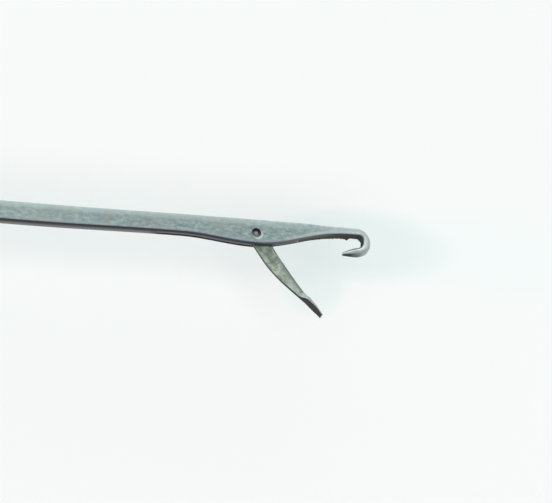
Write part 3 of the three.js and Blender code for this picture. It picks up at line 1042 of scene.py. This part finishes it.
def bar_steel(s):
    """Satin, mottled steel with painted highlights, and painted shade, dark and dull, along its lower edge.
    """
    along = s.stretched(0.55, 1, 1)
    grain = s.noise(3.4, detail=5, roughness=0.68, where=along)
    pits = s.noise(11, detail=2)
    tint = s.noise(0.9, detail=3, roughness=0.6, where=along)
    blotch = s.noise(0.33, detail=2)
    x, y, z = s.from_rivet()
    bend = s.clamp(x, 3.5, 10)
    mottle = s.clamp(grain, *MOTTLE)
    colour = s.blend(mottle, *SATIN)
    colour = s.blend((1 - s.clamp(x, -18, -10)) * 0.2, colour, PALE_SHANK)
    colour = s.blend(s.clamp(tint, 0.5, 0.66) * 0.6, colour, BLUE_TINT)
    colour = s.blend(s.clamp(blotch, 0.5, 0.66) * 0.5, colour, BROWN_TINT)
    # Painted highlight along the back rounding, weaker along the beam
    along_back = s.clamp(y, 0.5, 0.85) * s.clamp(x, -90, -60)
    colour = s.blend(along_back * (0.42 - 0.2 * s.clamp(x, 3, 6)), colour, BACK_HIGHLIGHT)
    # Painted highlight along the lower edge of each face
    rim = s.mask("rim")
    colour = s.blend(rim * 0.4, colour, RIM_HIGHLIGHT)
    colour = s.blend(bend, colour, s.blend(mottle, *POLISHED))
    # Stronger painted highlight along the lower edge towards the beam
    colour = s.blend(s.clamp(x, 1, 4) * rim * 0.5, colour, BEAM_RIM_HIGHLIGHT)
    # Painted highlight on the hook
    colour = s.blend(s.mask("gleam"), colour, PAINTED_GLEAM)
    # Painted shade on the edge walls facing down, inside the hook and round the arm, graded up each wall
    under_rim = s.clamp(z, 0.75, 1.05)
    lower_cheek = s.blend(s.clamp(z, 0.29, 0.34), *LOWER_CHEEK_SHADE)
    cheek = s.blend(s.clamp(z, 0.5, 0.7), lower_cheek, s.blend(under_rim, *UPPER_CHEEK_SHADE))
    edge = s.blend(s.clamp(x, -10, -8.4), s.blend(s.clamp(z, 0.3, 1.05), *REAR_EDGE_SHADE), cheek)
    edge = s.blend(s.clamp(x, -0.5, 1.5), edge, s.blend(under_rim, *FRONT_EDGE_SHADE))
    edge = s.blend(s.clamp(x, 4.8, 8.2), edge, s.blend(under_rim, *BEAM_EDGE_SHADE))
    wall, slot = s.mask("wall"), s.mask("slot")
    colour = s.blend(wall, colour, edge)
    # Painted light: the slot's inside is pale and dull
    colour = s.blend(slot, colour, SLOT_PAINTED_LIT)
    # Painted shade in the rivet's hole
    colour = s.blend(s.mask("seat"), colour, SEAT_SHADE)
    # Painted highlight on the dent
    colour = s.blend(s.mask("dent"), colour, DENT_HIGHLIGHT)
    roughness = 0.4 + 0.16 * (grain - 0.5) - bend * 0.16 - wall * 0.06 + slot * 0.2
    normal = s.bump(grain * 0.7 + pits * 0.3, RELIEF)
    s.surface(colour, roughness, Metallic=(1 - 0.85 * slot) * (1 - 0.9 * wall), Normal=normal)


def latch_steel(s):
    """Satin steel with olive tarnish, a scraped middle, a bright spoon and painted shade on edges and spoon
    back.
    """
    grain = s.noise(4.2, detail=5, roughness=0.7)
    spots = s.noise(2.1, detail=4, roughness=0.65)
    tint = s.noise(0.8, detail=2)
    x, y, _ = s.from_rivet()
    turn = radians(LATCH_OPEN)
    reach = x * cos(turn) + y * sin(turn)
    across = y * cos(turn) - x * sin(turn)
    colour = s.blend(s.clamp(grain, *MOTTLE), *TARNISHED)
    scraped = s.clamp(reach, 2.2, 3.6) * (1 - s.clamp(reach, 6.2, 7.4))
    scraped *= 1 - 0.55 * s.clamp(across, -0.6, 0.3)
    colour = s.blend(scraped * s.clamp(grain, 0.2, 0.55), colour, SCRAPED)
    outer = (1 - s.clamp(across, -0.75, -0.35)) * s.clamp(reach, 1.2, 2.6) * (1 - s.clamp(reach, 5, 7))
    colour = s.blend(outer * 0.45, colour, PALE_OUTER)
    colour = s.blend(s.clamp(tint, 0.48, 0.62) * 0.4, colour, OLIVE_TINT)
    colour = s.blend(s.clamp(spots, 0.5, 0.6) * 0.6, colour, DARK_SPOT)
    from_patch = (reach - 3.2).squared() * 1.6 + (across + 0.42).squared() * 9 + grain
    colour = s.blend((1 - s.clamp(from_patch, 0.5, 1.3)) * 0.55, colour, DARK_PATCH)
    polish = s.mask("polish")
    colour = s.blend(polish, colour, s.blend(s.clamp(grain, 0.35, 0.65), *SPOON_RIM))
    colour = s.blend(s.mask("brink") * 0.7, colour, s.blend(polish, *DARK_BRINK))
    # Painted shade on the cut edges and the spoon's back
    wall = s.mask("wall")
    colour = s.blend(wall, colour, s.blend(s.clamp(reach, 3.5, 5.5), *LATCH_CUT_SHADE))
    roughness = 0.4 + 0.2 * (grain - 0.5) - polish * 0.1
    s.surface(colour, roughness, Metallic=1 - 0.8 * wall, Normal=s.bump(grain, RELIEF))


def rivet_steel(s):
    """Warm grey steel, with painted shade in the punched dimple, darkest towards its upper side."""
    grain = s.noise(6, detail=3, roughness=0.6)
    x, y, _ = s.from_rivet()
    # Painted shade, darkest towards the upper side of the dimple
    side = s.blend(s.clamp(x + y * 2, -0.5, 0.25), *DIMPLE_SHADE)
    colour = s.blend(s.mask("wall"), s.blend(grain, *PEENED), side)
    s.surface(colour, 0.34 + 0.1 * grain, Metallic=1.0, Normal=s.bump(grain, 1e-5))


def steel(name, finish):
    """A material of its own for a piece."""
    material = bpy.data.materials.new(name)
    finish(Shader(material))
    return material


FINISHES = [
    (bar, "bar steel", bar_steel, "bar", "bar_steel", ("finger_ring", "shank", "hook_head")),
    (latch, "latch steel", latch_steel, "latch", "latch_steel", ("latch",)),
    (rivet, "rivet steel", rivet_steel, "bar", "rivet_steel", ("latch_rivet",)),
]
for thing, name, finish, body, slot, nodes in FINISHES:
    thing.data.materials.clear()
    thing.data.materials.append(steel(name, finish))
    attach(thing, body)
    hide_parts(*nodes)


# Floor, light and camera

FLOOR_DROP = 0.016
FLOOR_HALF = 3
PALE = (0.905, 0.912, 0.905)
# Painted shade behind the tool and painted shadow round its hook, as cooler, darker tints of the paper
SHADE_BEHIND_TOOL = (0.885, 0.915, 0.903)
SHADOW_AT_HOOK = (0.8, 0.865, 0.855)

# The line on the floor that shows straight behind the tool, and the painted shadows near the hook:
# the centre of each and the squares of its half widths, all in mm from the rivet
BEHIND_TOOL = 7.8
AT_HOOK = ((13.5, BEHIND_TOOL), (85, 14))
BELOW_HOOK = ((9.2, BEHIND_TOOL - 3.8), (11, 15))

ROOM_COLOUR = (0.97, 1.0, 1.0, 1)
ROOM_DIM = 0.52
ROOM_GAIN = 0.68
ROOM_FALLOFF = 2.8
ROOM_LEAN = 0.35
ROOM_START = 0.45
ROOM_RUN = 1.5

SOFT_BOX_PLACE = (-0.551, -1.134, 2.387)
SOFT_BOX_SIZE = 1.5
SOFT_BOX_POWER = 31.2


def oval(x, y, centre, squares):
    """0 at a centre, 1 on an oval round it whose half widths have these squares, and more outside."""
    return (x - centre[0]).squared() / squares[0] + (y - centre[1]).squared() / squares[1]


def floor():
    """A pale sheet of paper, with painted shade as a faint cool tint behind the tool, and painted shadow
    round its hook.
    """
    bm = bmesh.new()
    bmesh.ops.create_grid(bm, x_segments=1, y_segments=1, size=FLOOR_HALF)
    bmesh.ops.translate(bm, vec=(0, 0, -FLOOR_DROP), verts=bm.verts)
    ground = piece("floor", bm)
    paper = bpy.data.materials.new("pale paper")
    s = Shader(paper)
    x, y, _ = s.from_rivet()
    behind = 1 - s.clamp((y - BEHIND_TOOL).squared(), 2, 22)
    at_hook = 1 - s.clamp(oval(x, y, *AT_HOOK), 0.3, 1.4)
    below_hook = 1 - s.clamp(oval(x, y, *BELOW_HOOK), 0.25, 1.35)
    colour = s.blend(at_hook, s.blend(behind, PALE, SHADE_BEHIND_TOOL), SHADOW_AT_HOOK)
    colour = s.blend(below_hook * (1 - at_hook) * 0.9, colour, SHADOW_AT_HOOK)
    s.surface(colour, 0.9)
    ground.data.materials.append(paper)


def room_light():
    """The room: dim in front of the tool, brighter behind it, above it and to its left."""
    world = bpy.data.worlds.new("room")
    bpy.context.scene.world = world
    s = Shader(world)
    x, y, z = s.parts(s.node("ShaderNodeTexCoord", {}, {}, "Generated"))
    share = ((y + z * ROOM_LEAN - x * ROOM_LEAN + ROOM_START) / ROOM_RUN).at_least(0)
    level = share**ROOM_FALLOFF * ROOM_GAIN + ROOM_DIM
    glow = s.node("ShaderNodeBackground", {}, {"Color": ROOM_COLOUR, "Strength": level})
    s.node("ShaderNodeOutputWorld", {}, {"Surface": glow})


def soft_box():
    """One large round lamp, high in front of the tool on its left."""
    data = bpy.data.lights.new("soft box", "AREA")
    data.shape = "DISK"
    data.size = SOFT_BOX_SIZE
    data.energy = SOFT_BOX_POWER
    lamp = bpy.data.objects.new("soft box", data)
    across, forward, up = SOFT_BOX_PLACE
    lamp.location = (PIVOT.x + across, forward, up)
    lamp.rotation_euler = (PIVOT - lamp.location).to_track_quat("-Z", "Y").to_euler()
    lamp.visible_glossy = False
    bpy.context.scene.collection.objects.link(lamp)


def camera():
    """Looks down on the head from the front left, a little turned."""
    leftward, frontward = 0.204, 0.42
    toward = Vector((-leftward, -frontward, sqrt(1 - leftward**2 - frontward**2)))
    level = (Vector((1, 0, 0)) - toward * toward.x).normalized()
    upright = toward.cross(level)
    bar_slope = 0.0792
    roll = atan(bar_slope)
    right = level * cos(roll) + upright * sin(roll)
    up = upright * cos(roll) - level * sin(roll)
    pixel = 0.0895 * MM
    width, height = 552, 503
    rivet_across, rivet_down = 256.5, 232.3
    distance = 0.35
    centre = PIVOT + Vector((0, 0, THICK * MM))
    centre += right * (width / 2 - rivet_across) * pixel - up * (height / 2 - rivet_down) * pixel
    data = bpy.data.cameras.new("camera")
    data.sensor_width = 36
    data.lens = data.sensor_width * distance / (width * pixel)
    data.clip_start = 0.01
    data.clip_end = 20
    thing = bpy.data.objects.new("camera", data)
    axes = Matrix((right, up, toward)).transposed().to_4x4()
    thing.matrix_world = Matrix.Translation(centre + toward * distance) @ axes
    bpy.context.scene.collection.objects.link(thing)
    bpy.context.scene.camera = thing


floor()
room_light()
soft_box()
camera()
bpy.context.scene.view_settings.view_transform = "Standard"
